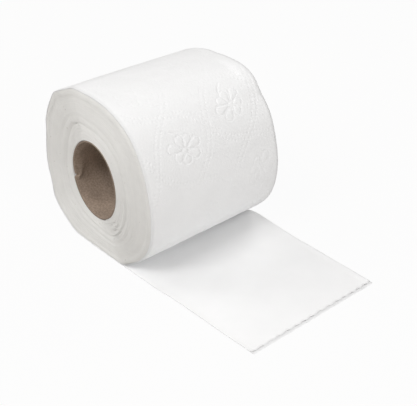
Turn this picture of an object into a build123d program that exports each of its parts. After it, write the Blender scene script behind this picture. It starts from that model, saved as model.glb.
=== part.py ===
from build123d import *
import math
import os

# Toilet roll lying on its side, with one loose sheet run out over the floor.
# Frame: the origin is on the axis of the core's bore, halfway along the roll.
# +Y runs along the roll, from the near end to the far end. +Z is up, and the
# loose tail runs out along +X. Sizes are in millimetres and degrees.

# Roll
roll_width = 98.0  # rim to rim, along the axis
roll_radius = 54.5  # mean reach of the wound web
floor_sag = 4.85  # how far the roll has sunk onto its flat spot
contact_ahead = 18.0  # flat spot, from under the axis towards the tail
contact_behind = 20.0  # flat spot, from under the axis away from the tail
rim_softness = 1.2  # rounding of the two rims
rim_bands = 3

# Hand-squeezed outline: heading round the axis from +X towards +Z, and how far
# the skin stands off the mean reach there.
squeeze_points = (
    (215.0, 2.1),
    (176.0, -3.0),
    (131.0, 2.1),
    (92.0, -0.1),
    (50.0, 1.8),
    (12.0, -0.8),
    (-32.0, 1.9),
    (-56.0, 0.1),
)

# Core
core_bore_radius = 22.4
core_wall = 0.8
mouth_squeeze = 1.7  # narrower across and taller by this much at the near mouth
mouth_ease = 24.0  # depth at which the squeezed mouth has become round
mouth_bands = 3
nick_depth = 3.6  # tear in the near edge of the core
nick_width = 2.6
nick_lean = 0.7  # how far its tip lies below its middle
nick_heading = 190.0

# Turns seen on the ends: one long spiral gap, and the parted gap round the collar
turn_spacing = 4.4
turn_gap = 0.4
turn_gap_depth = 0.5
turn_margin = 0.6  # left between the spiral and what it stops at
chords_per_turn = 32
collar_gap = 0.8  # at its widest
collar_gap_depth = 2.5
collar_gap_tips = ((12.0, 5.9), (-62.0, 10.4))  # heading, and distance out from the core

# Loose tail
web_thickness = 0.5
tail_length = 132.6  # from under the axis to the torn edge
tail_narrowing = 2.5  # how much narrower it lies than the roll is wide
tail_start = -1.2  # middle of the tail under the axis
tail_slew = 4.4  # how far its torn end has slid towards the far end
# Wander of the tail's long edges: share of its length, and how far in they stand
near_edge_wander = ((0.0, 0.4), (0.23, 0.0), (0.43, -0.5), (0.50, 0.5), (0.70, 0.2), (1.0, 0.0))
far_edge_wander = ((0.0, 0.3), (0.30, -0.2), (0.58, -0.7), (0.79, -0.3), (1.0, 0.4))
ply_step = 1.5  # how far the lower ply shows past the upper one
perforation_pitch = 6.4
perforation_tie = 1.3  # torn tie left between two cuts
perforation_bite = 0.7


def station(y):
    """The plane across the roll at y, with local x along +X and local y along +Z."""
    return Plane.XZ.offset(-y)


def polar(reach, heading):
    """A point across the roll, from its distance and heading round the axis."""
    angle = math.radians(heading)
    return (reach * math.cos(angle), reach * math.sin(angle))


def skin_outline():
    """The web's outer skin across the roll, clockwise from where the tail leaves it."""
    ahead = (contact_ahead, -axis_height)
    behind = (-contact_behind, -axis_height)
    bends = [polar(roll_radius + stand_off, heading) for heading, stand_off in squeeze_points]
    backwards = ((-1, 0), (-1, 0))
    with BuildLine() as outline:
        Line(ahead, behind)
        Spline(behind, *bends, ahead, tangents=backwards, tangent_scalars=(1, 1))
    return outline.wires()[0]


def squeeze_at(depth):
    """What is left of the mouth's squeeze at a depth inside the near mouth."""
    share = min(depth / mouth_ease, 1)
    return mouth_squeeze * (1 + math.cos(math.pi * share)) / 2


def core_section(y, radius):
    """A section of the core, oval near the near mouth. Its seam is at the top."""
    squeeze = squeeze_at(y - near_y)
    with BuildSketch(station(y)) as section:
        if squeeze > 0:
            Ellipse(radius - squeeze, radius + squeeze)
        else:
            with BuildLine():
                CenterArc((0, 0), radius, 90, 360)
            make_face()
    return section.sketch


def mouth_sections(radius):
    """Sections from the oval mouth to where the core has become round."""
    depths = [mouth_ease * band / mouth_bands for band in range(mouth_bands + 1)]
    return [core_section(near_y + depth, radius) for depth in depths]


def core_reach(heading, squeeze):
    """Distance from the axis to the outside of the core in one direction."""
    across = core_outer_radius - squeeze
    tall = core_outer_radius + squeeze
    return across * tall / math.hypot(tall * math.cos(heading), across * math.sin(heading))


def spiral_side(squeeze, side):
    """Points along one side of the spiral gap, one for each chord, from the rim inwards."""
    outer_inset = rim_softness + turn_margin
    inner_inset = turn_gap + turn_margin
    room = roll_radius - core_outer_radius - outer_inset - inner_inset
    turn_count = max(int(room / turn_spacing), 1)
    points = []
    for step in range(chords_per_turn * turn_count + 1):
        turns = step / chords_per_turn
        outer = skin.position_at(turns % 1)
        heading = math.atan2(outer.Y, outer.X)
        start = outer.length - outer_inset
        end = core_reach(heading, squeeze) + inner_inset
        reach = start + (end - start) * turns / turn_count
        points.append(polar(reach + side * turn_gap / 2, math.degrees(heading)))
    return points


def spiral_gap(y, squeeze):
    """The gap that shows between turns: one thin spiral face on an end of the roll."""
    outside = spiral_side(squeeze, 1)
    inside = spiral_side(squeeze, -1)
    with BuildSketch(station(y)) as gap:
        with BuildLine():
            Polyline(*outside, *reversed(inside), close=True)
        make_face()
    return gap.sketch


def collar_crescent(y, squeeze):
    """The crescent where the tight turns round the core have parted from the rest."""
    (first, first_out), (last, last_out) = collar_gap_tips
    tips = []
    for heading, out in collar_gap_tips:
        tips.append(polar(core_reach(math.radians(heading), squeeze) + out, heading))
    middle = (first + last) / 2
    crown = core_reach(math.radians(middle), squeeze) + (first_out + last_out) / 2
    with BuildSketch(station(y)) as crescent:
        with BuildLine():
            ThreePointArc(tips[0], polar(crown, middle), tips[1])
            ThreePointArc(tips[1], polar(crown + collar_gap, middle), tips[0])
        make_face()
    return crescent.sketch


def nick_outline():
    """The torn nick in the near edge of the core, seen from the side."""
    height = polar(core_bore_radius, nick_heading)[1]
    with BuildSketch(Plane.YZ.offset(-core_outer_radius - mouth_squeeze)) as nick:
        with BuildLine():
            Polyline(
                (near_y, height + nick_width / 2),
                (near_y + nick_depth, height - nick_lean),
                (near_y, height - nick_width / 2),
                close=True,
            )
        make_face()
    return nick.sketch


def skin_section(y, inset=0.0):
    """A section of the wound web at y, drawn in from its full reach by the inset."""
    with BuildSketch(station(y)) as section:
        with BuildLine():
            add(scale(skin, by=1 - inset / roll_radius))
        make_face()
    return section.sketch


def rim_sections(end):
    """Sections of one rim, -1 near or 1 far: a quarter round, in a few straight bands."""
    sections = []
    for band in range(rim_bands + 1):
        turn = math.radians(90 * band / rim_bands)
        rise = rim_softness * math.sin(turn)
        inset = rim_softness * (1 - math.cos(turn))
        sections.append(skin_section(end * (rim_y + rise), inset))
    return sections


def tail_edge(wander, side):
    """Points down one long edge of the tail, in from its full width by the wander."""
    points = []
    for share, inset in wander:
        middle = tail_start + tail_slew * share
        points.append((share * tail_length, middle + side * (tail_width / 2 - inset)))
    return points


def tail_outline():
    """The tail on the floor, seen from above."""
    near_edge = tail_edge(near_edge_wander, -1)
    far_edge = tail_edge(far_edge_wander, 1)
    with BuildSketch(tail_plane) as tail:
        with BuildLine():
            Spline(*near_edge)
            Line(near_edge[-1], far_edge[-1])
            Spline(*reversed(far_edge))
            Line(far_edge[0], near_edge[0])
        make_face()
    return tail.sketch


def perforation_cuts(ply_end):
    """The row of cuts that a ply was torn along, between its ties."""
    with BuildSketch(tail_plane.offset(web_thickness)) as cuts:
        with Locations((ply_end, tail_start + tail_slew)):
            with GridLocations(0, perforation_pitch, 1, cut_count):
                Rectangle(2 * perforation_bite, perforation_pitch - perforation_tie)
    return cuts.sketch


axis_height = roll_radius - floor_sag
near_y = -roll_width / 2
far_y = roll_width / 2
rim_y = far_y - rim_softness
core_outer_radius = core_bore_radius + core_wall
skin = skin_outline()
round_y = near_y + mouth_ease
round_length = far_y - round_y
ply_thickness = web_thickness / 2
tail_width = roll_width - tail_narrowing
tail_plane = Plane.XY.offset(-axis_height)
cut_count = int(tail_width / perforation_pitch)

# Cardboard core: round for most of its length, squeezed oval at the near mouth
with BuildPart() as core_tube:
    loft(mouth_sections(core_outer_radius), ruled=True)
    extrude(core_section(round_y, core_outer_radius), amount=-round_length)
    loft(mouth_sections(core_bore_radius), ruled=True, mode=Mode.SUBTRACT)
    extrude(core_section(round_y, core_bore_radius), amount=-round_length, mode=Mode.SUBTRACT)
    extrude(nick_outline(), amount=core_outer_radius, mode=Mode.SUBTRACT)

# Tissue: the wound turns, with the loose tail drawn out from under them
with BuildPart() as tissue_web:
    extrude(skin_section(-rim_y), amount=-2 * rim_y)
    loft(rim_sections(-1), ruled=True)
    loft(rim_sections(1), ruled=True)
    extrude(tail_outline(), amount=web_thickness)
    # The upper ply stops short of the lower one
    with BuildSketch(tail_plane.offset(web_thickness)) as bare_strip:
        with Locations((tail_length - ply_step / 2, 0)):
            Rectangle(ply_step, 2 * tail_width)
    extrude(amount=-ply_thickness, mode=Mode.SUBTRACT)
    # Each ply is torn along its perforation, and keeps a tie between two cuts
    extrude(perforation_cuts(tail_length - ply_step), amount=-ply_thickness, mode=Mode.SUBTRACT)
    extrude(perforation_cuts(tail_length), amount=-web_thickness, mode=Mode.SUBTRACT)
    # The hollow that holds the core
    loft(mouth_sections(core_outer_radius), ruled=True, mode=Mode.SUBTRACT)
    extrude(core_section(round_y, core_outer_radius), amount=-round_length, mode=Mode.SUBTRACT)
    # The turns that show on both ends, and the parted gap on the near one
    extrude(spiral_gap(near_y, mouth_squeeze), amount=-turn_gap_depth, mode=Mode.SUBTRACT)
    extrude(spiral_gap(far_y, 0), amount=turn_gap_depth, mode=Mode.SUBTRACT)
    extrude(collar_crescent(near_y, mouth_squeeze), amount=-collar_gap_depth, mode=Mode.SUBTRACT)

core_tube.part.label = "core_tube"
tissue_web.part.label = "tissue_web"

os.makedirs("parts", exist_ok=True)
export_step(core_tube.part, "parts/core_tube.step")
export_step(tissue_web.part, "parts/tissue_web.step")
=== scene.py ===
"""A soft toilet roll lying on its side, with one sheet drawn out over the floor.

The roll's axis runs along Y and the loose sheet runs out along X. Lengths are worked out in
millimetres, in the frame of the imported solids, and turned into metres when a mesh is made.

A heading is an angle in degrees round the axis, from +X towards +Z. A run is a distance along
the roll's outline, clockwise from where the loose sheet leaves it. Across is a distance along
the axis, from the middle of the roll towards its far end.
"""

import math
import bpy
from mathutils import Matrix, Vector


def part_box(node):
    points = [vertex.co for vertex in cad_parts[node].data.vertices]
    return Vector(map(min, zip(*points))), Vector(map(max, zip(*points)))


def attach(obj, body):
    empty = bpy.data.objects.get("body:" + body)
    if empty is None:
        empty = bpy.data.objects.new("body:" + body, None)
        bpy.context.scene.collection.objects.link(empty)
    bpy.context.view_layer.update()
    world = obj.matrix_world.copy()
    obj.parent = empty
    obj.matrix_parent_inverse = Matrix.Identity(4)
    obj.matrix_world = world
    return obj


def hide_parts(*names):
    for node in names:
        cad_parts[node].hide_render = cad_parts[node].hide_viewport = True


bl_info = {
    "name": "Toilet Roll",
    "version": (1, 0, 0),
    "blender": (4, 5, 0),
    "location": "3D View > Sidebar > Toilet Roll",
    "description": "Dresses a packed toilet roll as wound, embossed tissue on a board core",
    "category": "Object",
}

import bpy
import numpy as np
from bpy.props import FloatProperty, FloatVectorProperty, IntProperty, PointerProperty
from bpy.types import Operator, Panel, PropertyGroup
from mathutils import Matrix, Vector

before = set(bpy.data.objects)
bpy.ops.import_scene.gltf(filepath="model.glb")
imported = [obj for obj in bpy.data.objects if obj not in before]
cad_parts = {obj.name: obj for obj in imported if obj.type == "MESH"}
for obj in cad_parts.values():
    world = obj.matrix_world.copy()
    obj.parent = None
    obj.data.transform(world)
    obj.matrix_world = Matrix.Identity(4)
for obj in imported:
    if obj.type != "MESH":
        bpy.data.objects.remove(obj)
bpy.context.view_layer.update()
WEB_LOW, WEB_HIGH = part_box("tissue_web")
CORE_LOW, CORE_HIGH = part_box("core_tube")

MM = 0.001
WHITE = (1.0, 1.0, 1.0, 1.0)

# Hand-squeezed outline: heading, and how far the skin stands off the roll's radius
SQUEEZE = (
    (215.0, 2.1),
    (176.0, -3.0),
    (131.0, 2.1),
    (92.0, -0.1),
    (50.0, 1.8),
    (12.0, -0.8),
    (-32.0, 1.9),
    (-56.0, 0.1),
)

# Marks of handling: how much further out than that outline the skin stands, by heading.
# The near end's fade along the roll, the slack grows towards the far end, and the last
# are folds in the far rim alone.
NEAR_END = (
    (96.0, 0.0), (108.0, 0.9), (116.0, -0.2), (124.0, 0.0), (131.0, 1.2), (139.0, 0.5),
    (150.0, 1.2), (157.0, 1.5), (166.0, 0.6), (175.0, 0.8), (186.0, 1.1), (195.0, 0.5),
    (200.0, -0.5), (206.0, -0.4), (214.0, 1.8), (222.0, 1.4), (232.0, 0.1), (246.0, 0.3),
    (255.0, 0.8), (268.0, 0.0),
)
FAR_SLACK = (
    (-62.0, 0.0), (-40.0, -0.6), (-22.0, -0.2), (0.0, 0.9), (15.0, 0.5), (30.0, 0.3),
    (45.0, -0.3), (62.0, 0.1), (75.0, -0.2), (92.0, -1.2), (110.0, -1.2), (135.0, -0.7),
    (180.0, -0.3), (250.0, 0.0),
)
FAR_RIM = (
    (34.0, 0.0), (45.0, -0.8), (50.0, -0.1), (56.0, 1.3), (65.0, 1.7), (70.0, 1.3),
    (77.0, 0.4), (86.0, 0.1), (92.0, -0.3), (100.0, 0.1), (108.0, 0.0),
)
NEAR_END_STOP = 15.0  # across, where the near end's marks have faded out
FAR_RIM_START = 27.0  # across, where the folds of the far rim begin

# The skin over the floor: how far beyond the flat spot it begins to rise, and has come clear
FLOOR_CLEAR = (6.0, 22.0)
FLOOR_SKIM = 0.02  # how far off the floor the lowest paper stays
INNER_SKIM = 0.35  # the same for the inner side of the outermost turn
OUTER_THICKNESS = 0.43  # of the outermost turn, clear of the one below

# Soft waves in the skin: height, seed, longest and shortest wave, and their count
SKIN_WAVES = ((0.1, 5, 90, 35, 6), (0.07, 6, 16, 7, 7))

# Soft dents in the skin: heading, across, half sizes both ways, and depth
DENTS = (
    (74.0, 38.0, 9.0, 6.0, 0.3),
    (128.0, -38.0, 12.0, 9.0, 0.25),
    (8.0, 10.0, 16.0, 30.0, 0.25),
    (2.0, -30.0, 9.0, 12.0, 0.2),
)

# A crease before the far rim, as heading and across of both its ends
FAR_CREASE = ((80.5, 41.2), (57.0, 40.6))
CREASE_RISE = 0.55
CREASE_HALF = 2.8  # half the width of its slope
CREASE_REACH = 4.5  # how far behind it the skin has sunk back

RIM_TURN = 3.5  # how far in from the rims the outer turns curl down
RIM_DIP = 0.65  # how far down they curl

# Emboss: a daisy's place, and the lattice it repeats on, as steps along the web and across it
DAISY_HEADING = 30.4
DAISY_ACROSS = -18.2
LATTICE = ((-15.2, 41.5), (42.8, 10.8))
DAISY_TURN = math.radians(29)  # how far the mirrored daisies are turned
DAISY_EDGE = 16.0  # nothing of a daisy lies further out

# A daisy's petals as angle in degrees and reach, and the bends of its stem along and across
PETALS = (
    (151, 9.7), (110, 12.0), (64, 10.6), (0, 7.8), (-64, 8.4), (-111, 11.8), (-163, 9.6),
)
PETAL_FOOT = 2.7  # from the daisy's middle to where a petal's rounded foot is centred
PETAL_HALVES = (0.9, 2.95)  # half widths of a petal at its foot and at its tip
EYE_HALVES = (1.45, 2.5)  # half sizes of the ring in its middle
EYE_MEAN = 1.9  # mean radius of that ring
STEM = ((-8.9, -0.4), (-10.6, -1.8), (-12.0, -4.2), (-12.9, -7.4))
LINE_WIDTH = 0.45
STEM_WIDTH = 0.5
# Heights in shares of the emboss depth
LINE_DEPTH = 0.85
PUFF = 0.35  # how high a petal stands
STEM_PRESS = 1.25  # how much deeper the stem is pressed than the petals' lines

# The wavy borders between the daisies, as where the first one of each family lies, its bow,
# the distance between two and the length of a wave
FALLING_BORDERS = (0.52, 0.125, 32.8, 59.1)
RISING_BORDERS = (0.47, 0.09, 29.6, 65.6)
DOT_PITCH = 2.3
DOT_WIDTH = 0.62
DOT_ROWS = ((-1.5, 0.0), (1.5, 0.5))  # off a border's middle, and start in pitches
DOTS_KEEP_OFF = (9.5, 12.0)  # from a daisy's middle: where dots begin to show, and all show
# Handling has worn the pattern off the crown, and off the front low down: the share that is
# gone, and where that begins and is reached, along the web from the first daisy
WORN = ((0.68, -24.0, -42.0), (0.6, 16.0, 26.0))

# The tight collar of turns round the core: its corners as heading, spread and millimetres out,
# and the gaps outside it as first heading, last heading and width
COLLAR_TIPS = ((-62.0, 25.0, 4.4), (117.0, 15.0, 2.4), (160.0, 24.0, -1.6))
COLLAR_GAPS = ((-62.0, 12.0, 0.8), (122.0, 184.0, 0.28))
COLLAR_TURNS = 0.2  # share of the turns that lie in the collar
COLLAR_ROOM = 0.19  # share of the way to the skin that it takes
# Where turns are slack and lean apart: how much, heading and spread, share of the turns and spread
SLACK_SPOTS = ((1.0, -55.0, 12.0, 0.2, 0.16), (0.8, 119.0, 11.0, 0.25, 0.13))
TURN_FILL = 0.975  # share of its room that a turn fills
TURN_SLACK = 0.035  # how much less the slack ones fill
TURN_SOFTNESS = 0.09  # rounding of a turn's cut edges
TURN_CLEAR = 0.05  # left between the turns and the core, and below the outermost one
TURN_STAND = 0.25  # how far back from the ends the turns stand
CURL_DEPTH = 2.2  # how deep below the skin the rims' curl is felt

# The core's near mouth, with its torn nick
MOUTH_HEADING = math.radians(234)  # the way in which it is pushed
NICK_ARC = 75.3  # distance round the bore
NICK_HALF = 1.2  # half its width
NICK_TEAR = 1.9  # how deep it is torn
# Two folds bound the pressed corner behind the nick: the depth and distance round of their meeting
FOLDS_MEET = (3.0, 78.3)
BUCKLE = 1.5  # how far that corner is pressed in
SEAM_HEADING = math.radians(146)  # of the board's spiral seam at the near mouth
SEAM_LEAD = 80.0  # depth in which the seam goes once round

# Wander of the loose sheet's long edges: share of its length, and how far in they stand
NEAR_EDGE = ((0.0, 0.4), (0.23, 0.0), (0.43, -0.5), (0.50, 0.5), (0.70, 0.2), (1.0, 0.0))
FAR_EDGE = ((0.0, 0.3), (0.30, -0.2), (0.58, -0.2), (0.79, 0.0), (1.0, 0.4))
TAIL_START = -1.2  # middle of the loose sheet under the axis
TAIL_SLEW = 4.4  # how far its torn end has slid towards the far end

# The loose sheet's far edge leaves the roll late: distance out, and height over the floor
FAR_EDGE_LIFT = (
    (19.0, 0.0), (24.0, 0.9), (30.0, 3.3), (34.0, 4.3), (42.0, 4.0), (55.0, 2.6), (70.0, 1.4),
    (85.0, 0.9), (105.0, 0.5), (128.0, 0.0),
)
FAR_EDGE_SHIFTS = (-4, -2, 0, 2, 4)  # the heights are a mean over these distances
TIE_COUNT = 19  # torn ties of each ply
SWELL_SEED = 23
SWELL_COUNT = 6  # waves in the loose sheet

# Meshes
COARSE = 6  # how many times finer the upper side of a sheet is than its lower one
SKIN_STEP = 0.4  # between two points of the skin
TAIL_STEPS = (0.75, 0.5)  # between two points along the loose sheet, and across it
FLAT_POINTS = 80  # of the outline on the floor
BEND_POINTS = 160  # of the outline between two bends
STRIP_POINTS = 80  # of each wound turn
STRIP_STATIONS = (-45.5, -35.0, -24.0, 29.0, 45.5)  # where the turns bend along the axis
CORE_COLUMNS, CORE_ROWS = 300, 72

# The stage, in metres: soft lamps as place and share of the lamps' power
SOFT_LAMPS = (
    ("key_lamp", (-0.7, -0.6, 0.9), 0.38),
    ("front_lamp", (0.1, -0.9, 0.9), 0.96),
    ("back_lamp", (-0.2, 0.95, 0.9), 0.38),
    ("right_lamp", (1.1, -0.1, 0.6), 0.65),
)
LAMP_SIZE = 0.5
FLOOR_HALF = 4.0
FLOOR_GAP = 0.00003  # between the floor and the paper on it

# The camera that the outlines in the photograph give: from the origin, in millimetres
LENS = 80.29
CAMERA_AZIMUTH, CAMERA_ELEVATION = math.radians(48.90), math.radians(31.58)
CAMERA_BACK, CAMERA_RIGHT, CAMERA_UP = 571.3, 29.95, -30.46


def length(name, description, default):
    """A length in metres that a user may change."""
    return FloatProperty(
        name=name, description=description, default=default,
        min=0, max=1, unit="LENGTH", precision=5,
    )


def tint(name, description, default):
    """A colour that a user may change."""
    return FloatVectorProperty(
        name=name, description=description, default=default,
        min=0, max=1, subtype="COLOR", size=3,
    )


class RollSizes(PropertyGroup):
    """Sizes of the roll, in metres."""

    roll_width: length("Roll width", "From rim to rim, along the axis", CORE_HIGH[1] - CORE_LOW[1])
    roll_radius: length("Roll radius", "Mean reach of the wound web", 0.0545)
    axis_height: length("Axis height", "Height of the axis over the floor", -WEB_LOW[2])
    contact_ahead: length("Contact ahead", "Flat spot from under the axis to its front", 0.018)
    contact_behind: length("Contact behind", "Flat spot from under the axis to its back", 0.020)
    rim_softness: length("Rim softness", "Rounding of the two rims", 0.0012)
    core_radius: length("Core radius", "Outside of the board core where it is round", 0.0232)
    core_wall: length("Core wall", "Thickness of the board", 0.0008)
    mouth_squeeze: length("Mouth squeeze", "How far the near mouth is pressed oval", 0.0017)
    mouth_shift: length("Mouth shift", "How far the near mouth is pushed down and back", 0.0014)
    mouth_ease: length("Mouth ease", "Depth at which the mouth has become round", 0.024)
    sheet_length: length("Sheet length", "Between two rows of perforation", 0.140)
    web_thickness: length("Web thickness", "Two embossed plies together", 0.0005)
    tail_reach: length("Tail reach", "From under the axis to the torn edge", WEB_HIGH[0])
    tail_width: length("Tail width", "Width of the loose sheet", 0.0955)
    ply_step: length("Ply step", "How far the lower ply shows past the upper one", 0.0015)
    perforation_pitch: length("Perforation pitch", "From one torn tie to the next", 0.0064)
    emboss_depth: length("Emboss depth", "How deep the daisies are pressed in", 0.00030)
    turn_count: IntProperty(
        name="Turns", description="Wound turns that show on the ends", default=62, min=8, max=90
    )


class RollFinish(PropertyGroup):
    """Colours and lights of the roll."""

    tissue_colour: tint("Tissue", "Colour of the tissue", (0.913, 0.917, 0.922))
    edge_colour: tint("Tissue edge", "Colour of the cut edges on the ends", (0.79, 0.785, 0.765))
    board_colour: tint("Board", "Colour of the core's grey board", (0.365, 0.285, 0.225))
    floor_colour: tint("Floor", "Colour of the floor", (0.60, 0.585, 0.57))
    sky_strength: FloatProperty(
        name="Sky", description="Strength of the pale light from all round",
        default=0.29, min=0, max=3,
    )
    lamp_power: FloatProperty(
        name="Lamps", description="Power of each soft lamp at a full share",
        default=7.8, min=0, max=100, unit="POWER",
    )


def millimetres(sizes):
    """The sizes as plain numbers in millimetres, by name."""
    names = [name for name in RollSizes.__annotations__ if name != "turn_count"]
    return {name: getattr(sizes, name) / MM for name in names}


def chosen(context):
    """The sizes in millimetres and the finish, as the panel has them."""
    return millimetres(context.scene.toilet_roll_sizes), context.scene.toilet_roll_finish


def smooth_step(low, high, value):
    """0 below low, 1 above high, with a soft rise between."""
    share = np.clip((value - low) / (high - low), 0, 1)
    return share * share * (3 - 2 * share)


def soft_table(table, share):
    """Reads a table of pairs, with a soft rise from each row to the next."""
    share = np.asarray(share, float)
    height = np.full(share.shape, table[0][1], float)
    for (low, before), (high, after) in zip(table, table[1:]):
        height += (after - before) * smooth_step(low, high, share)
    return height


def around(table, heading):
    """Reads a table of pairs by heading, right round the axis."""
    headings, offsets = zip(*table)
    return np.interp(heading, headings, offsets, period=360)


def wave(along, across, turn, spacing, start):
    """A wave over a surface, from -1 to 1, that runs the way of the turn."""
    return np.sin((along * math.cos(turn) + across * math.sin(turn)) * math.tau / spacing + start)


def ripple(rng, along, across, longest, shortest, count):
    """A gentle random surface from -1 to 1, made of a few waves."""
    total = np.zeros(np.broadcast(along, across).shape)
    for _ in range(count):
        spacing = shortest + (longest - shortest) * rng.random()
        turn = rng.random() * math.tau
        start = rng.random() * math.tau
        total += wave(along, across, turn, spacing, start)
    return total / count


def floor_to_floor(bends):
    """A smooth curve through the bends that leaves and meets the floor along it."""
    steps = np.diff(bends, axis=0)
    spans = np.linalg.norm(steps, axis=1)
    chords = steps / spans[:, None]
    last = len(bends) - 1
    system = np.eye(last + 1)
    slopes = np.zeros((last + 1, 2))
    slopes[0] = slopes[last] = (-1, 0)
    for i in range(1, last):
        system[i, i - 1 : i + 2] = (spans[i], 2 * (spans[i - 1] + spans[i]), spans[i - 1])
        slopes[i] = 3 * (spans[i] * chords[i - 1] + spans[i - 1] * chords[i])
    slopes = np.linalg.solve(system, slopes)
    curve = []
    for i in range(last):
        t = np.linspace(0, 1, BEND_POINTS)[: BEND_POINTS if i == last - 1 else -1, None]
        curve.append(
            (2 * t**3 - 3 * t**2 + 1) * bends[i]
            + (t**3 - 2 * t**2 + t) * spans[i] * slopes[i]
            + (3 * t**2 - 2 * t**3) * bends[i + 1]
            + (t**3 - t**2) * spans[i] * slopes[i + 1]
        )
    return np.vstack(curve)


class Skin:
    """The outer outline of the roll, clockwise from where the loose sheet leaves it."""

    def __init__(self, size):
        self.size = size
        self.half = size["roll_width"] / 2
        self.contact = size["contact_ahead"] + size["contact_behind"]
        floor = -size["axis_height"]
        bends = [(size["contact_ahead"], floor), (-size["contact_behind"], floor)]
        for heading, stand_off in SQUEEZE:
            reach = size["roll_radius"] + stand_off
            angle = math.radians(heading)
            bends.append((reach * math.cos(angle), reach * math.sin(angle)))
        bends.append(bends[0])
        flat = np.linspace(bends[0], bends[1], FLAT_POINTS)[:-1]
        self.points = np.vstack([flat, floor_to_floor(np.array(bends[1:]))])
        steps = np.linalg.norm(np.diff(self.points, axis=0), axis=1)
        self.runs = np.concatenate([[0], np.cumsum(steps)])
        self.length = self.runs[-1]
        headings = np.unwrap(np.arctan2(self.points[:, 1], self.points[:, 0]))
        self.headings = headings[::-1]

    def at(self, run):
        """The point across the roll at a run."""
        run = np.mod(run, self.length)
        return np.stack([np.interp(run, self.runs, self.points[:, axis]) for axis in (0, 1)], -1)

    def outward(self, run):
        """The unit normal of the outline at a run."""
        ahead = self.at(run + 1.0) - self.at(run - 1.0)
        normal = np.stack([-ahead[..., 1], ahead[..., 0]], -1)
        return normal / np.linalg.norm(normal, axis=-1, keepdims=True)

    def run_at(self, heading):
        """The run at a heading."""
        angle = math.radians(heading)
        while angle > self.headings[-1]:
            angle -= math.tau
        while angle < self.headings[0]:
            angle += math.tau
        return float(np.interp(angle, self.headings, self.runs[::-1]))

    def lie(self, run, across):
        """The point across the roll at a run, as handling has left the skin there."""
        points = self.at(run)
        heading = np.degrees(np.arctan2(points[..., 1], points[..., 0]))
        near_share = (NEAR_END_STOP - across) / (NEAR_END_STOP + self.half)
        far_share = (across - FAR_RIM_START) / (self.half - FAR_RIM_START)
        off = around(NEAR_END, heading) * np.clip(near_share, 0, 1) ** 1.5
        off = off + around(FAR_SLACK, heading) * (across + self.half) / (2 * self.half)
        off = off + around(FAR_RIM, heading) * np.clip(far_share, 0, 1) ** 2
        points = points * (1 + off / np.linalg.norm(points, axis=-1))[..., None]
        points[..., 1] = np.maximum(points[..., 1], -self.size["axis_height"])
        return points

    def clearance(self, run):
        """0 over the flat spot, 1 where the skin stands well clear of the floor."""
        beyond = np.minimum(run - self.contact, self.length - run)
        return smooth_step(*FLOOR_CLEAR, beyond)


def rim_recess(depth, softness):
    """How far a turn's edge stands back from the end, at a depth below the skin."""
    share = np.clip(1 - depth / softness, 0, 1)
    return softness * (1 - np.sqrt(1 - share**2))


def rim_dip(across, width):
    """How far the skin curls down towards the nearer rim."""
    share = np.clip(np.abs(across) - width / 2 + RIM_TURN, 0, RIM_TURN) / RIM_TURN
    return RIM_DIP * share**2


def core_reach(size, angle, across, radius):
    """Distance from the axis to a wall of the core, oval and pushed aside near the mouth."""
    share = np.clip((across + size["roll_width"] / 2) / size["mouth_ease"], 0, 1)
    ease = (1 + np.cos(math.pi * share)) / 2
    wide = radius - size["mouth_squeeze"] * ease
    tall = radius + size["mouth_squeeze"] * ease
    oval = wide * tall / np.hypot(tall * np.cos(angle), wide * np.sin(angle))
    return oval + size["mouth_shift"] * ease * np.cos(angle - MOUTH_HEADING)


def line_groove(distance, width):
    """A pressed line's cross-section: 1 in the middle, falling off over its width."""
    return np.exp(-((distance / width) ** 2))


def daisy(along, across, turn, mirrored):
    """Pressed lines and raised petals of one daisy: grooves from 0, and puff from 0 to 1."""
    level = along * math.cos(turn) + across * math.sin(turn)
    beside = across * math.cos(turn) - along * math.sin(turn)
    if mirrored:
        beside = -beside
    groove = np.zeros(along.shape)
    puff = np.zeros(along.shape)
    foot, tip = PETAL_HALVES
    for angle, reach in PETALS:
        angle = math.radians(angle)
        out = level * math.cos(angle) + beside * math.sin(angle)
        side = beside * math.cos(angle) - level * math.sin(angle)
        spine = reach - tip - PETAL_FOOT
        share = np.clip((out - PETAL_FOOT) / spine, 0, 1)
        half = foot + (tip - foot) * share
        distance = np.hypot(out - PETAL_FOOT - spine * share, side) - half
        # A petal lies over those before it, so their lines stop inside its own
        uncovered = groove * smooth_step(-1.1, -0.4, distance)
        groove = np.maximum(uncovered, line_groove(distance, LINE_WIDTH))
        puff = np.maximum(puff, smooth_step(0.0, 1.6, -distance))
    eye_share = np.hypot(level / EYE_HALVES[0], beside / EYE_HALVES[1]) - 1
    groove = np.maximum(groove, line_groove(eye_share * EYE_MEAN, LINE_WIDTH))
    for start, end in zip(STEM, STEM[1:]):
        step = np.subtract(end, start)
        passed = (level - start[0]) * step[0] + (beside - start[1]) * step[1]
        share = np.clip(passed / (step @ step), 0, 1)
        distance = np.hypot(level - start[0] - step[0] * share, beside - start[1] - step[1] * share)
        groove = np.maximum(groove, STEM_PRESS * line_groove(distance, STEM_WIDTH))
    return groove, puff


def dotted_borders(place, beside, family):
    """Pressed dots in double rows along one family of the wavy borders between daisies.

    The place counts the borders, and beside runs along them, two to a wave.
    """
    first, bow, spacing, wave_length = family
    place = place - first
    number = np.round(place)
    off = (place - number - bow * np.cos(math.pi * (beside - number))) * spacing
    along = beside * wave_length / 2
    dots = np.zeros(place.shape)
    for row, start in DOT_ROWS:
        step = along / DOT_PITCH + start
        gap = (step - np.round(step)) * DOT_PITCH
        dots = np.maximum(dots, np.exp(-((off - row) ** 2 + gap**2) / DOT_WIDTH**2))
    return dots


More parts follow.
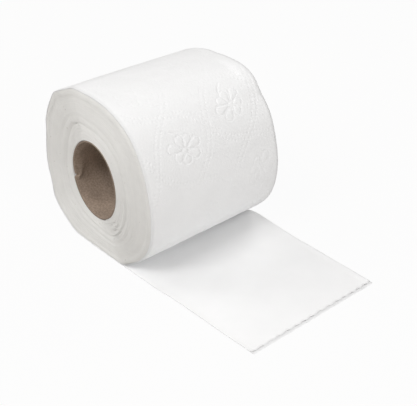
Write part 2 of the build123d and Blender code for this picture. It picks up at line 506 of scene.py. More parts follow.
def emboss(skin, run, across):
    """Height of the pressed pattern over the web, in shares of its depth."""
    (along_a, across_a), (along_b, across_b) = LATTICE
    cross = along_a * across_b - along_b * across_a
    along_off, across_off = run - skin.run_at(DAISY_HEADING), across - DAISY_ACROSS
    cell_a = (along_off * across_b - across_off * along_b) / cross
    cell_b = (across_off * along_a - along_off * across_a) / cross
    keep_off = np.ones(run.shape)
    height = np.zeros(run.shape)
    for a in range(int(cell_a.min()) - 1, int(cell_a.max()) + 2):
        for b in range(int(cell_b.min()) - 1, int(cell_b.max()) + 2):
            along = along_off - a * along_a - b * along_b
            beside = across_off - a * across_a - b * across_b
            near = np.hypot(along, beside) < DAISY_EDGE
            if not near.any():
                continue
            along, beside = along[near], beside[near]
            turn = DAISY_TURN * (a % 2) + math.pi * (b % 2)
            groove, puff = daisy(along, beside, turn, mirrored=a % 2)
            height[near] += PUFF * puff - groove * (LINE_DEPTH + PUFF * puff)
            keep_off[near] *= smooth_step(*DOTS_KEEP_OFF, np.hypot(along, beside))
    falling, rising = cell_a - cell_b, cell_a + cell_b
    dots = np.maximum(
        dotted_borders(falling, rising, FALLING_BORDERS),
        dotted_borders(rising, falling, RISING_BORDERS),
    )
    worn = sum(share * smooth_step(begin, reached, along_off) for share, begin, reached in WORN)
    return (height - LINE_DEPTH * dots * keep_off) * (1 - worn)


class Value:
    """A shader value in plain Python maths: each step adds its Math node."""

    def __init__(self, shader, socket):
        self.shader = shader
        self.socket = socket

    def math(self, operation, *values):
        """The result of one Math node over values and numbers."""
        return self.shader.value("Math", 0, {"operation": operation}, dict(enumerate(values)))

    def __add__(self, other):
        return self.math("ADD", self, other)

    __radd__ = __add__

    def __sub__(self, other):
        return self.math("SUBTRACT", self, other)

    def __rsub__(self, other):
        return self.math("SUBTRACT", other, self)

    def __mul__(self, other):
        return self.math("MULTIPLY", self, other)

    __rmul__ = __mul__

    def cosine(self):
        """The cosine of a value in radians."""
        return self.math("COSINE", self)

    def at_least(self, other):
        """The larger of the two."""
        return self.math("MAXIMUM", self, other)

    def ramp(self, low, high):
        """0 below low and 1 above high, or the other way round."""
        settings = {"interpolation_type": "SMOOTHSTEP", "clamp": True}
        inputs = {"Value": self, "From Min": low, "From Max": high}
        return self.shader.value("MapRange", 0, settings, inputs)


class Shader:
    """The nodes of one material or world."""

    def __init__(self, tree):
        self.tree = tree
        tree.nodes.clear()

    def node(self, kind, settings=None, inputs=None):
        """Adds a node: its settings first, then the values or links of its sockets."""
        made = self.tree.nodes.new("ShaderNode" + kind)
        for key, value in (settings or {}).items():
            setattr(made, key, value)
        for key, value in (inputs or {}).items():
            socket = made.inputs[key]
            value = value.socket if isinstance(value, Value) else value
            if isinstance(value, bpy.types.NodeSocket):
                self.tree.links.new(value, socket)
            else:
                socket.default_value = value
        return made

    def value(self, kind, output, settings=None, inputs=None):
        """A new node's output, ready for maths."""
        return Value(self, self.node(kind, settings, inputs).outputs[output])

    def noise(self, vector, scale=1.0, detail=2.0, roughness=0.5):
        """A noise value about 0.5."""
        inputs = {"Vector": vector, "Scale": scale, "Detail": detail, "Roughness": roughness}
        return self.value("TexNoise", 0, {"noise_dimensions": "3D"}, inputs)

    def stretched(self, vector, scale):
        """The vector with each axis scaled by its own number."""
        return self.node("VectorMath", {"operation": "MULTIPLY"}, {0: vector, 1: scale}).outputs[0]

    def web(self):
        """The place on the web that a piece's mesh carries at each point."""
        return self.node("Attribute", {"attribute_name": "web"}).outputs["Vector"]

    def split(self, vector):
        """The three values of a vector."""
        parts = self.node("SeparateXYZ", None, {0: vector})
        return [Value(self, socket) for socket in parts.outputs]

    def blend(self, factor, first, second):
        """A colour between two, by a value."""
        inputs = {"Factor": factor, "A": first, "B": second}
        return self.node("Mix", {"data_type": "RGBA"}, inputs).outputs["Result"]

    def bump(self, height):
        """A normal from a height in millimetres."""
        inputs = {"Strength": 1.0, "Distance": MM, "Height": height}
        return self.node("Bump", None, inputs).outputs["Normal"]

    def shown(self):
        """1 for a ray that shows the background itself, 0 for one that only carries its light."""
        path = self.node("LightPath").outputs
        seen = Value(self, path["Is Camera Ray"]).at_least(path["Is Glossy Ray"])
        return seen.at_least(path["Is Transmission Ray"])


def colour(tone, shade=1.0):
    """A tone in a lighter or darker shade, as a colour socket takes it."""
    return (*(channel * shade for channel in tone), 1.0)


def finish_of(name):
    """A new material and its shader."""
    material = bpy.data.materials.new(name)
    material.use_nodes = True
    return material, Shader(material.node_tree)


def surface(shader, **sockets):
    """Ends a material in a Principled surface."""
    inputs = {name.replace("_", " "): value for name, value in sockets.items()}
    principled = shader.node("BsdfPrincipled", None, inputs)
    shader.node("OutputMaterial", None, {"Surface": principled.outputs[0]})


def tissue_finish(name, tone, dimple, crepe):
    """Tissue with micro-dots, crepe lines and loose fibres, greyer where the web says frayed, which
    is partly painted shade.
    """
    material, paper = finish_of(name)
    web = paper.web()
    along, across, fray = paper.split(web)
    # One micro-dot in each square millimetre of the web
    dots = ((along + across) * math.pi).cosine() * ((along - across) * math.pi).cosine()
    pimples = paper.noise(web, scale=0.75, detail=1.0, roughness=0.4)
    crepe_lines = paper.noise(paper.stretched(web, (2.1, 0.45, 1.0)), detail=3.0, roughness=0.6)
    fibres = paper.noise(web, scale=3.4, detail=3.0, roughness=0.65)
    cloud = paper.noise(web, scale=0.06)
    height = dots.at_least(0.0) * -dimple + crepe_lines * crepe + pimples * (crepe * 2.4)
    shade = cloud.ramp(0.3, 0.7) * 0.6 + fibres.ramp(0.35, 0.75) * 0.4
    plain = paper.blend(shade, colour(tone, 0.985), colour(tone, 1.01))
    surface(
        paper,
        # The grey at the edges is partly painted shade, along and under the torn ends of the loose
        # sheet's plies
        Base_Color=paper.blend(fray * (0.7 + fibres * 0.3), plain, colour(tone, 0.8)),
        Roughness=0.9 + fibres * 0.08,
        Specular_IOR_Level=0.25,
        Normal=paper.bump(height + fibres * 0.035),
    )
    return material


def edge_finish(name, tone):
    """Cut edges of the wound turns: thin lines round the axis, dust and a few specks."""
    material, paper = finish_of(name)
    place = paper.node("NewGeometry").outputs["Position"]
    fluff = paper.noise(place, scale=900.0, detail=3.0, roughness=0.7)
    mottle = paper.noise(place, scale=120.0)
    bands = paper.noise(paper.stretched(paper.web(), (0.004, 0.0, 1.3)), roughness=0.6)
    specks = paper.noise(place, scale=420.0, detail=1.0).ramp(0.74, 0.80)
    shade = bands.ramp(0.3, 0.7) * 0.55 + mottle.ramp(0.3, 0.7) * 0.45
    plain = paper.blend(shade, colour(tone, 0.955), colour(tone, 1.01))
    surface(
        paper,
        Base_Color=paper.blend(specks * 0.35, plain, (0.42, 0.38, 0.33, 1.0)),
        Roughness=0.92 + fluff * 0.06,
        Specular_IOR_Level=0.2,
        Normal=paper.bump(fluff * 0.22 + bands * 0.2),
    )
    return material


def board_finish(name, tone):
    """Grey-brown board: grain, short fibres and dark flecks, a dark seam and a bare cut edge."""
    material, board = finish_of(name)
    web = board.web()
    edge = board.split(web)[2]  # 1 on the cut edge, and down to -1 along the seam
    fibres = board.noise(board.stretched(web, (1.1, 0.35, 1.0)), detail=4.0, roughness=0.65)
    grain = board.noise(web, scale=0.8, detail=4.0, roughness=0.75)
    cloud = board.noise(web, scale=0.12)
    flecks = board.noise(board.stretched(web, (1.9, 0.9, 1.0)), detail=1.0).ramp(0.68, 0.76)
    shade = fibres.ramp(0.3, 0.7) * 0.2 + grain.ramp(0.35, 0.65) * 0.55
    shade = shade + cloud.ramp(0.3, 0.7) * 0.25
    plain = board.blend(shade, colour(tone, 0.66), colour(tone, 1.36))
    marks = (flecks * 0.45).at_least(edge.ramp(-0.1, -0.9) * 0.6)
    marked = board.blend(marks, plain, colour(tone, 0.5))
    surface(
        board,
        Base_Color=board.blend(edge.ramp(0.2, 0.9) * 0.85, marked, colour(tone, 0.66)),
        Roughness=0.82 + grain * 0.12,
        Specular_IOR_Level=0.3,
        Normal=board.bump(fibres * 0.10 + grain * 0.16),
    )
    return material


def floor_finish(tone):
    """A pale floor that shows white to the camera and keeps a faint shadow."""
    material, floor = finish_of("floor")
    lit = floor.node("BsdfDiffuse", None, {"Color": colour(tone)})
    white = floor.node("Emission", None, {"Color": WHITE, "Strength": 1.0})
    sides = {0: floor.shown() * 0.95, 1: lit.outputs[0], 2: white.outputs[0]}
    mixed = floor.node("MixShader", None, sides)
    floor.node("OutputMaterial", None, {"Surface": mixed.outputs[0]})
    return material


def make_piece(name, shape, material):
    """A closed piece that rides on the roll.

    Its shape is its points in millimetres, its faces and the points' places on the web.
    """
    points, faces, web = shape
    mesh = bpy.data.meshes.new(name)
    mesh.from_pydata((points * MM).tolist(), [], faces)
    layer = mesh.attributes.new("web", "FLOAT_VECTOR", "POINT")
    layer.data.foreach_set("vector", np.ascontiguousarray(web, np.float32).ravel())
    mesh.shade_smooth()
    mesh.materials.append(material)
    piece = bpy.data.objects.new(name, mesh)
    bpy.context.collection.objects.link(piece)
    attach(piece, "root")
    return piece


def quads(*corners):
    """Faces from the numbers of their points, one array for each corner."""
    return np.stack(corners, -1).reshape(-1, len(corners)).tolist()


def stacked(*grids):
    """The rows of several grids of vectors, one under the other."""
    return np.vstack([grid.reshape(-1, 3) for grid in grids])


def round_axis(reach, angle, across):
    """Points from their distance to the axis, angle round it and place along it."""
    return np.stack([reach * np.cos(angle), across, reach * np.sin(angle)], -1)


def grid_corners(rows, columns, start):
    """The numbers of the four corners of each quad in a grid of points numbered row by row."""
    corner = (np.arange(rows - 1)[:, None] * columns + np.arange(columns - 1)).ravel() + start
    return corner, corner + columns, corner + columns + 1, corner + 1


def grid_border(rows, columns, start=0):
    """The numbers of a grid's border points, round it once."""
    grid = np.arange(rows * columns).reshape(rows, columns) + start
    return np.concatenate([grid[:-1, 0], grid[-1, :-1], grid[:0:-1, -1], grid[0, :0:-1]])


def skirt(fine, coarse):
    """Triangles between a fine border and a coarse one that runs beside it."""
    faces = []
    each = len(fine) // len(coarse)
    half = each // 2
    for k, corner in enumerate(coarse):
        following = coarse[(k + 1) % len(coarse)]
        for step in range(each):
            first = fine[k * each + step]
            second = fine[(k * each + step + 1) % len(fine)]
            faces.append((second, first, corner if step < half else following))
        faces.append((fine[k * each + half], corner, following))
    return [[int(number) for number in face] for face in faces]


def closed_sheet(upper, lower):
    """A thin closed sheet: a fine upper side over a coarse lower one.

    A side is a grid of points and a grid of their places on the web.
    """
    rows, columns = upper[0].shape[:2]
    low_rows, low_columns = lower[0].shape[:2]
    start = rows * columns
    faces = quads(*grid_corners(rows, columns, 0))
    faces += quads(*grid_corners(low_rows, low_columns, start)[::-1])
    faces += skirt(grid_border(rows, columns), grid_border(low_rows, low_columns, start))
    return stacked(upper[0], lower[0]), faces, stacked(upper[1], lower[1])


def far_crease(skin, run, across):
    """The soft rise of the skin behind the crease."""
    (first_run, first_across), (last_run, last_across) = (
        (skin.run_at(heading), place) for heading, place in FAR_CREASE
    )
    step = np.array((last_run - first_run, last_across - first_across))
    full = np.linalg.norm(step)
    run_off, across_off = run - first_run, across - first_across
    along = (run_off * step[0] + across_off * step[1]) / full
    behind = (across_off * step[0] - run_off * step[1]) / full
    # It fades out over a few millimetres at both its ends
    kept = smooth_step(-3, 3, along) * smooth_step(full + 4, full - 2, along)
    rise = smooth_step(-CREASE_HALF, CREASE_HALF, behind)
    return CREASE_RISE * kept * rise * np.exp(-((np.clip(behind, 0, None) / CREASE_REACH) ** 2))


def skin_height(size, skin, run, across, depth):
    """How far the paper stands off the handled outline, its outer side or one a depth below."""
    height = -depth - size["web_thickness"] * run / skin.length
    height = height - rim_dip(across, size["roll_width"])
    for tall, seed, longest, shortest, count in SKIN_WAVES:
        rng = np.random.default_rng(seed)
        height += tall * ripple(rng, run, across, longest, shortest, count)
    for heading, middle, long, wide, deep in DENTS:
        gap = ((run - skin.run_at(heading)) / long) ** 2 + ((across - middle) / wide) ** 2
        height -= deep * np.exp(-gap)
    height += far_crease(skin, run, across)
    if depth == 0:
        flattened = np.where(run < skin.contact, 0.2, 1)
        height += size["emboss_depth"] * emboss(skin, run, across) * flattened
    # Near the floor nothing stands proud, and what dips is pressed shallow
    clear = skin.clearance(run)
    settled = np.minimum(height, 0) * (0.2 + 0.8 * clear) - FLOOR_SKIM
    return np.where(clear < 1, settled, height)


def outer_sheet(size, skin, first, last):
    """One sheet of the outermost turn, between two runs."""
    width = size["roll_width"] - 2 * rim_recess(size["web_thickness"] / 2, size["rim_softness"])
    rows = COARSE * round((last - first) / SKIN_STEP / COARSE)
    columns = COARSE * round(width / SKIN_STEP / COARSE)

    def side(rows, columns, depth, skim):
        run = np.linspace(first, last, rows + 1)[:, None] + np.zeros(columns + 1)
        across = np.linspace(-width / 2, width / 2, columns + 1) + np.zeros((rows + 1, 1))
        height = skin_height(size, skin, run, across, depth)
        place = skin.lie(run, across) + skin.outward(run) * height[..., None]
        level = np.maximum(place[..., 1], skim - size["axis_height"])
        # The sheet is greyer towards the rims, over the last few millimetres
        fray = 0.8 * smooth_step(2.8, 0.0, width / 2 - np.abs(across))
        return np.stack([place[..., 0], across, level], -1), np.stack([run, across, fray], -1)

    upper = side(rows, columns, 0, FLOOR_SKIM)
    lower = side(rows // COARSE, columns // COARSE, OUTER_THICKNESS, INNER_SKIM)
    return closed_sheet(upper, lower)


def spread(share, angle, room):
    """Where a turn lies between the core and the skin, in millimetres out from the core.

    The turns round the core are a tight collar with corners, and gaps have opened outside it.
    """
    heading = np.degrees(np.mod(angle + math.pi, math.tau) - math.pi)
    out = COLLAR_ROOM * room
    for tip, width, further in COLLAR_TIPS:
        off = np.mod(heading - tip + 180, 360) - 180
        out = out + further * np.exp(-((off / width) ** 2))
    opening = np.zeros(heading.shape)
    for first, last, width in COLLAR_GAPS:
        opened = np.clip((heading - first) / (last - first), 0, 1)
        opening += width * np.sin(math.pi * opened) ** 2
    inside = out * share / COLLAR_TURNS
    left = room - out - opening
    outside = out + opening + left * (share - COLLAR_TURNS) / (1 - COLLAR_TURNS)
    return np.where(share <= COLLAR_TURNS, inside, outside)


class Winding:
    """The wound turns as one strip, from the skin inwards: a point for each of its steps."""

    def __init__(self, size, skin, turns):
        self.size = size
        self.skin = skin
        self.turns = turns
        self.number = np.arange(turns * STRIP_POINTS + 1) / STRIP_POINTS
        self.run = np.mod(self.number, 1) * skin.length
        outline = skin.at(self.run)
        self.angle = np.arctan2(outline[:, 1], outline[:, 0])
        self.share = 1 - self.number / (turns + 1)
        heading = np.degrees(self.angle)
        self.slack = 0
        for most, middle, width, among, turns_wide in SLACK_SPOTS:
            off = ((heading - middle) / width) ** 2
            off_turns = ((self.share - among) / turns_wide) ** 2
            self.slack = self.slack + most * np.exp(-off - off_turns)
        # Slack turns lean in and out, from one to the next and in small waves along them
        leaning = 0.6 * np.sin(self.number * 2.4 * math.pi)
        leaning = leaning + 0.4 * np.sin(self.angle * 34 + self.number * 1.9)
        self.lean = self.slack * leaning
        rng = np.random.default_rng(3)
        self.stands = [self.turn_by_turn(rng), self.turn_by_turn(rng)]  # near and far
        marks = np.arange(turns + 2)
        fill = TURN_FILL - 0.035 * rng.random(len(marks)) ** 2
        self.fill = np.interp(self.number, marks, fill) - TURN_SLACK * self.slack

    def turn_by_turn(self, rng):
        """How far the turns stand out of an end, in slow waves and from one to the next."""
        marks = np.arange(self.turns + 2)
        slow = np.interp(marks, marks[::5], rng.normal(0, 0.16, len(marks[::5])))
        return np.interp(self.number, marks, slow + rng.normal(0, 0.035, len(marks)))

    def ends(self):
        """Where the strip's near and far edges lie along the axis."""
        half = self.size["roll_width"] / 2
        depth = (self.number + 1) * self.size["web_thickness"]
        recess = 0.6 * rim_recess(depth, self.size["rim_softness"])
        near = -half + recess + self.stands[0] + TURN_STAND
        near = near + 0.08 * np.sin(self.angle * 2 + self.number * 0.31)
        near = np.maximum(near + 0.3 * self.slack + 0.3 * self.lean, -half)
        return near, np.minimum(half - recess + self.stands[1] - TURN_STAND, half)

    def reaches(self, across):
        """Distance from the axis to the strip's outer and inner side."""
        points = self.skin.lie(self.run, np.full(len(self.run), across))
        core = core_reach(self.size, self.angle, across, self.size["core_radius"]) + TURN_CLEAR
        room = np.linalg.norm(points, axis=1) - self.size["web_thickness"] - TURN_CLEAR - core
        inner_share = np.clip(self.share - self.fill / (self.turns + 1), 0, 1)
        leaning = 0.16 * self.lean * (across <= STRIP_STATIONS[0])  # at the near end alone
        dip = rim_dip(across, self.size["roll_width"]) * self.skin.clearance(self.run)
        reaches = []
        for share in (self.share, inner_share):
            curled = dip * np.exp(-(1 - share) * room / CURL_DEPTH)
            reaches.append(core + spread(share, self.angle, room) + leaning - curled)
        return reaches

    def rings(self):
        """The points round the strip's section, its outer side out and its inner side back."""
        half = self.size["roll_width"] / 2
        near, far = self.ends()
        stations = [(near, -half), (near + TURN_SOFTNESS, -half)]
        stations += [(np.full(len(self.run), across), across) for across in STRIP_STATIONS]
        stations += [(far - TURN_SOFTNESS, half), (far, half)]
        run = self.number * self.skin.length * 0.7  # the share is a turn's mean length
        points, places = [], []
        for side, order in enumerate((stations, stations[::-1])):
            for step, (across, station) in enumerate(order):
                both = self.reaches(station)
                # At its cut edges the strip is thinner, which rounds them
                blunt = 0.28 if step in (0, len(order) - 1) else 0
                reach = both[side] + (both[1 - side] - both[side]) * blunt
                points.append(round_axis(reach, self.angle, across))
                places.append(np.stack([run, across, self.number], -1))
        return np.stack(points, 1), np.stack(places, 1)

    def closed_strip(self):
        """The strip as one closed piece."""
        points, places = self.rings()
        count, ring = points.shape[:2]
        base = (np.arange(count - 1) * ring)[:, None]
        column = np.arange(ring)
        ahead = (column + 1) % ring
        faces = quads(base + column, base + ring + column, base + ring + ahead, base + ahead)
        faces.append(list(range(ring)))
        faces.append(list(range(count * ring - 1, (count - 1) * ring - 1, -1)))
        return stacked(points), faces, stacked(places)


def buckle(depth, arc):
    """How far the board is pressed inwards behind its torn nick, from 0 to 1."""
    meet_depth, meet_arc = FOLDS_MEET
    first_fold = NICK_ARC + depth - arc
    second_fold = meet_arc - 1.14 * (depth - meet_depth) - arc
    # Both folds run at about 45 degrees, so the distance square to them is shorter
    inside = np.minimum(first_fold, second_fold) / 1.45
    return smooth_step(-0.5, 1.1, inside) * np.exp(-((np.clip(inside, 0, None) / 4.5) ** 2))


def core_mesh(size):
    """The board core, with its spiral seam, torn nick and buckle."""
    radius = size["core_radius"]
    bore = radius - size["core_wall"]
    angle = np.arange(CORE_COLUMNS) / CORE_COLUMNS * math.tau + np.zeros((CORE_ROWS + 1, 1))
    depth = (np.linspace(0, 1, CORE_ROWS + 1) ** 1.25 * size["roll_width"])[:, None]
    depth = depth + np.zeros(CORE_COLUMNS)
    across = depth - size["roll_width"] / 2

    arc = angle * (bore - 0.4)  # distance round the bore
    nick = np.clip(1 - np.abs(arc - NICK_ARC) / NICK_HALF, 0, 1)
    # The cut edge stands a little back from the tissue and is slightly ragged
    fray = 0.13 + 0.012 * np.sin(angle * 23) + 0.007 * np.sin(angle * 61 + 1)
    tear = (NICK_TEAR * nick + fray) * np.clip(1 - depth / 9, 0, 1)
    pressed = BUCKLE * buckle(depth, arc) * (1 - 0.9 * smooth_step(3, 10, depth))

    seam_angle = SEAM_HEADING - depth / SEAM_LEAD * math.tau
    seam_gap = (np.mod(angle - seam_angle + math.pi, math.tau) - math.pi) * radius
    # One edge of the board lies a step higher, with a thin gap beside it
    seam = 0.16 * smooth_step(-0.35, 0.35, seam_gap) * np.exp(-np.clip(seam_gap, 0, None) / 18)
    seam = seam - 0.12 * line_groove(seam_gap, 0.35)

    outer = core_reach(size, angle, across, radius) - 0.05 - pressed
    inner = core_reach(size, angle, across, bore) - seam - pressed
    sides = [round_axis(reach, angle, across + tear) for reach in (outer, inner)]
    marks = np.where(depth < 0.05, 1.0, -line_groove(seam_gap, 0.4))
    web = np.stack([angle * radius, depth, marks], -1)

    inside = (CORE_ROWS + 1) * CORE_COLUMNS
    column = np.arange(CORE_COLUMNS)
    beside = (column + 1) % CORE_COLUMNS
    faces = []
    for row in range(CORE_ROWS):
        low, high = row * CORE_COLUMNS, (row + 1) * CORE_COLUMNS
        faces += quads(low + column, low + beside, high + beside, high + column)
        low, high = low + inside, high + inside
        faces += quads(low + column, high + column, high + beside, low + beside)
    last = CORE_ROWS * CORE_COLUMNS
    faces += quads(column, column + inside, beside + inside, beside)
    column, beside = column + last, beside + last
    faces += quads(column, beside, beside + inside, column + inside)
    return stacked(*sides), faces, stacked(web, web)


class Ply:
    """One ply of the loose sheet, torn along its perforation."""

    def __init__(self, size, is_upper):
        self.size = size
        self.is_upper = is_upper
        # Its lower and upper side over the floor
        self.heights = (0.21, size["web_thickness"] - 0.05) if is_upper else (0.0, 0.2)
        self.shorter = size["ply_step"] if is_upper else 0.0
        self.end = size["tail_reach"] - self.shorter
        self.curl = 0.05 if is_upper else 0.0
        self.thinning = 0.25 if is_upper else 0.8  # share of its thickness lost at its end
        self.half = size["tail_width"] / 2
        self.seed = 22 if is_upper else 21
        rng = np.random.default_rng(self.seed)
        order = np.arange(TIE_COUNT) - TIE_COUNT // 2
        self.ties = order * size["perforation_pitch"] + rng.normal(0, 0.5, TIE_COUNT)
        self.bites = (0.5 + 0.4 * rng.random(TIE_COUNT)) * (1 if is_upper else 0.15)
        self.hooks = self.curl * (0.5 + 1.0 * rng.random(TIE_COUNT))
        # The same swell lifts both plies: a few waves, as turn and start
        rng = np.random.default_rng(SWELL_SEED)
        self.swells = rng.random((SWELL_COUNT, 2)) * math.tau

    def along_cuts(self, across, shape):
        """Sums a shape over the cuts between two ties each, from its share of the cut."""
        total = np.zeros(across.shape)
        for cut, (tie, after) in enumerate(zip(self.ties, self.ties[1:])):
            inside = (across > tie) & (across <= after)
            total += inside * shape(np.clip((across - tie) / (after - tie), 0, 1), cut)
        return total

    def saw(self, share, cut):
        """How far back the end is torn, along one cut."""
        bite = smooth_step(0.1, 0.86, share) * (1 - smooth_step(0.9, 1.0, share))
        return self.bites[cut] * bite

    def hook(self, share, cut):
        """How far the end curls up, along one cut and most at its tie."""
        return self.curl + self.hooks[cut] * np.exp(-(((share - 0.9) / 0.12) ** 2))

    def torn_end(self, across):
        """How far out the ply reaches."""
        wobble = 0.05 * np.sin(across * 5.1) + 0.04 * np.sin(across * 9.7 + self.seed)
        return self.end - self.along_cuts(across, self.saw) + wobble

    def lift(self, x, y):
        """Height of the sheet over the floor, without its thickness."""
        rest = smooth_step(22, 70, x)  # 1 where the roll no longer holds it down
        total = 0
        for number, (turn, start) in enumerate(self.swells):
            total = total + wave(x, y, turn, 38 + 11 * number, start)
        swell = 0.07 * rest * np.clip(total / 2 + 0.6, 0, None)
        # The long edges lift a little, in waves
        edge = smooth_step(44.0, 48.5, np.abs(y - 1.5)) * (0.6 + 0.4 * np.sin(x * 0.16))
        before_end = self.end - x
        across = y - TAIL_START - TAIL_SLEW
        torn = self.along_cuts(across, self.hook) * smooth_step(3.0, 0.0, before_end)
        near_corner = smooth_step(9 - self.half, -self.half, across)
        corner = self.curl * near_corner * smooth_step(9.0, 0.0, before_end)
        # The far edge leaves the roll late, less and less towards the near one
        distances, heights = zip(*FAR_EDGE_LIFT)
        late = sum(np.interp(x + shift, distances, heights) for shift in FAR_EDGE_SHIFTS)
        late = late / len(FAR_EDGE_SHIFTS) * np.clip((y + 14) / (self.half + 14), 0, 1.1) ** 1.7
        return swell + 0.35 * edge * rest + torn + corner + late

    def fray(self, left):
        """How grey the ply is, at a distance from its torn end: thin torn fibres and painted shade.
        """
        if self.is_upper:
            # Along the upper ply's curled end: thin fibres and a painted shadow under the curl
            return 0.7 * smooth_step(1.6, 0.2, left)
        # On the lower ply, painted shade just past the upper ply's edge, lighter towards its own
        # end
        return smooth_step(2.4, 1.7, left) * (0.3 + 0.7 * smooth_step(0.0, 1.2, left))

    def side(self, rows, columns, height):
        """A side of the ply, from under the roll to its torn end, and its places on the web."""
        start = self.size["tail_reach"] - self.size["sheet_length"]
        side_share = np.linspace(-1, 1, columns + 1)
        across = side_share * self.half
        end = self.torn_end(across)
        along = 1 - np.linspace(1, 0, rows + 1)[:, None] ** 1.5
        x = start + (end - start) * along
        share = x / self.size["tail_reach"]
        middle = TAIL_START + TAIL_SLEW * share
        near = middle - self.half + soft_table(NEAR_EDGE, share)
        far = middle + self.half - soft_table(FAR_EDGE, share)
        y = near + (far - near) * (side_share + 1) / 2
        # The paper thins out over its last millimetre and a half
        thinner = 1 - self.thinning * smooth_step(1.4, 0.0, self.end - x)
        level = self.lift(x, y) + height * thinner - self.size["axis_height"]
        web = [self.size["tail_reach"] - x, across + np.zeros(x.shape), self.fray(end - x)]
        return np.stack([x, y, level], -1), np.stack(web, -1)

    def closed(self):
        """The ply as one closed sheet."""
        long_step, wide_step = TAIL_STEPS
        rows = COARSE * round(self.size["sheet_length"] / long_step / COARSE)
        columns = COARSE * round(self.size["tail_width"] / wide_step / COARSE)
        low, high = self.heights
        upper, upper_web = self.side(rows, columns, high)
        lower, lower_web = self.side(rows // COARSE, columns // COARSE, low)
        # Nowhere thinner than a single tissue
        lower[..., 2] = np.minimum(lower[..., 2], upper[::COARSE, ::COARSE, 2] - 0.06)
        return closed_sheet((upper, upper_web), (lower, lower_web))


def lay_floor(context, level, tone):
    """A wide floor at a height in metres."""
    mesh = bpy.data.meshes.new("floor")
    corners = ((-1, -1), (1, -1), (1, 1), (-1, 1))
    points = [(x * FLOOR_HALF, y * FLOOR_HALF, level) for x, y in corners]
    mesh.from_pydata(points, [], [(0, 1, 2, 3)])
    mesh.materials.append(floor_finish(tone))
    floor = bpy.data.objects.new("floor", mesh)
    context.collection.objects.link(floor)


def set_lamps(context, power):
    """The soft lamps, each turned to the roll."""
    for name, place, share in SOFT_LAMPS:
        lamp_data = bpy.data.lights.new(name, "AREA")
        lamp_data.shape = "SQUARE"
        lamp_data.size = LAMP_SIZE
        lamp_data.energy = power * share
        lamp = bpy.data.objects.new(name, lamp_data)
        lamp.location = place
        lamp.rotation_euler = (-Vector(place)).to_track_quat("-Z", "Y").to_euler()
        context.collection.objects.link(lamp)


def set_room(context, strength):
    """Pale, slightly warm light from all round, which shows white behind the roll."""
    world = bpy.data.worlds.new("pale_room")
    world.use_nodes = True
    room = Shader(world.node_tree)
    seen = room.shown()
    tone = room.blend(seen, (1.0, 0.965, 0.93, 1.0), WHITE)
    inputs = {"Color": tone, "Strength": seen * (1.0 - strength) + strength}
    sky = room.node("Background", None, inputs)
    room.node("OutputWorld", None, {"Surface": sky.outputs[0]})
    context.scene.world = world


def set_camera(context):
    """The camera at the photograph's viewing angle."""
    camera_data = bpy.data.cameras.new("camera")
    camera_data.sensor_width = 36
    camera_data.sensor_fit = "HORIZONTAL"
    camera_data.lens = LENS
    camera_data.clip_start = 0.02
    camera_data.clip_end = 30
    camera = bpy.data.objects.new("camera", camera_data)
    sine, cosine = math.sin(CAMERA_AZIMUTH), math.cos(CAMERA_AZIMUTH)
    level_back = math.cos(CAMERA_ELEVATION)
    back = np.array([level_back * sine, -level_back * cosine, math.sin(CAMERA_ELEVATION)])
    right = np.array([cosine, sine, 0.0])
    up = np.cross(back, right)
    place = (back * CAMERA_BACK + right * CAMERA_RIGHT + up * CAMERA_UP) * MM
    turn = Matrix((right, up, back)).transposed().to_4x4()
    camera.matrix_world = Matrix.Translation(place) @ turn
    context.collection.objects.link(camera)
    context.scene.camera = camera


class TOILETROLL_OT_stage(Operator):
    """Sets the floor, the soft light and the camera"""

    bl_idname = "toilet_roll.stage"
    bl_label = "Stage"

    def execute(self, context):
        size, finish = chosen(context)
        lay_floor(context, -size["axis_height"] * MM - FLOOR_GAP, finish.floor_colour)
        set_lamps(context, finish.lamp_power)
        set_room(context, finish.sky_strength)
        set_camera(context)
        context.scene.view_settings.view_transform = "Standard"
        return {"FINISHED"}


class TOILETROLL_OT_board_core(Operator):
    """Fits the board core with its spiral seam and torn nick"""

    bl_idname = "toilet_roll.board_core"
    bl_label = "Board core"

    def execute(self, context):
        size, finish = chosen(context)
        material = board_finish("grey_board", finish.board_colour)
        piece = make_piece("board_core", core_mesh(size), material)
        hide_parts("core_tube")
        return {"FINISHED"}


class TOILETROLL_OT_wound_turns(Operator):
    """Winds the turns that show on both ends"""

    bl_idname = "toilet_roll.wound_turns"
    bl_label = "Wound turns"

    def execute(self, context):
        size, finish = chosen(context)
        material = edge_finish("cut_tissue_edge", finish.edge_colour)
        winding = Winding(size, Skin(size), context.scene.toilet_roll_sizes.turn_count)
        piece = make_piece("wound_turns", winding.closed_strip(), material)
        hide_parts("tissue_web")
        return {"FINISHED"}


class TOILETROLL_OT_outer_turn(Operator):
    """Wraps the embossed sheets of the outermost turn round the roll"""

    bl_idname = "toilet_roll.outer_turn"
    bl_label = "Outer turn"

    def execute(self, context):
        size, finish = chosen(context)
        skin = Skin(size)
        material = tissue_finish("embossed_tissue", finish.tissue_colour, dimple=0.05, crepe=0.07)
        first = size["sheet_length"] - (size["tail_reach"] - size["contact_ahead"])
        for name in ("second_sheet", "third_sheet", "fourth_sheet"):
            last = min(first + size["sheet_length"], skin.length)
            piece = make_piece(name, outer_sheet(size, skin, first, last), material)
            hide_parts("tissue_web")
            first = last
        return {"FINISHED"}


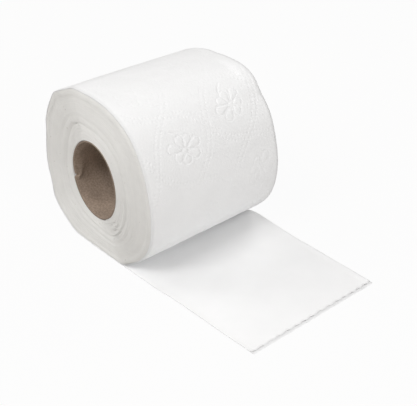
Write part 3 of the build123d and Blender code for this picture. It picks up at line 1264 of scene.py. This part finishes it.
class TOILETROLL_OT_tail_sheet(Operator):
    """Lays the loose first sheet on the floor, two plies with torn ends"""

    bl_idname = "toilet_roll.tail_sheet"
    bl_label = "Loose sheet"

    def execute(self, context):
        size, finish = chosen(context)
        material = tissue_finish("plain_tissue", finish.tissue_colour, dimple=0.008, crepe=0.015)
        plies = (("tail_lower_ply", False, "floor"), ("tail_upper_ply", True, "tail_lower_ply"))
        for name, is_upper, under in plies:
            ply = Ply(size, is_upper)
            piece = make_piece(name, ply.closed(), material)
            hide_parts("tissue_web")
            flat = (size["tail_width"] * MM, (size["sheet_length"] - ply.shorter) * MM)
        return {"FINISHED"}


OPERATORS = (
    TOILETROLL_OT_stage,
    TOILETROLL_OT_board_core,
    TOILETROLL_OT_wound_turns,
    TOILETROLL_OT_outer_turn,
    TOILETROLL_OT_tail_sheet,
)


class TOILETROLL_PT_panel(Panel):
    """Lists the roll's pieces and what can be changed on them"""

    bl_idname = "TOILETROLL_PT_panel"
    bl_label = "Toilet Roll"
    bl_space_type = "VIEW_3D"
    bl_region_type = "UI"
    bl_category = "Toilet Roll"

    def draw(self, context):
        for operator in OPERATORS:
            self.layout.operator(operator.bl_idname)
        for group in (context.scene.toilet_roll_sizes, context.scene.toilet_roll_finish):
            column = self.layout.column(align=True)
            for name in type(group).__annotations__:
                column.prop(group, name)


CLASSES = (RollSizes, RollFinish, *OPERATORS, TOILETROLL_PT_panel)


def register():
    for each in CLASSES:
        bpy.utils.register_class(each)
    bpy.types.Scene.toilet_roll_sizes = PointerProperty(type=RollSizes)
    bpy.types.Scene.toilet_roll_finish = PointerProperty(type=RollFinish)


def unregister():
    del bpy.types.Scene.toilet_roll_finish
    del bpy.types.Scene.toilet_roll_sizes
    for each in reversed(CLASSES):
        bpy.utils.unregister_class(each)


def main():
    register()
    bpy.ops.toilet_roll.stage()
    bpy.ops.toilet_roll.board_core()
    bpy.ops.toilet_roll.wound_turns()
    bpy.ops.toilet_roll.outer_turn()
    bpy.ops.toilet_roll.tail_sheet()


if __name__ == "__main__":
    main()
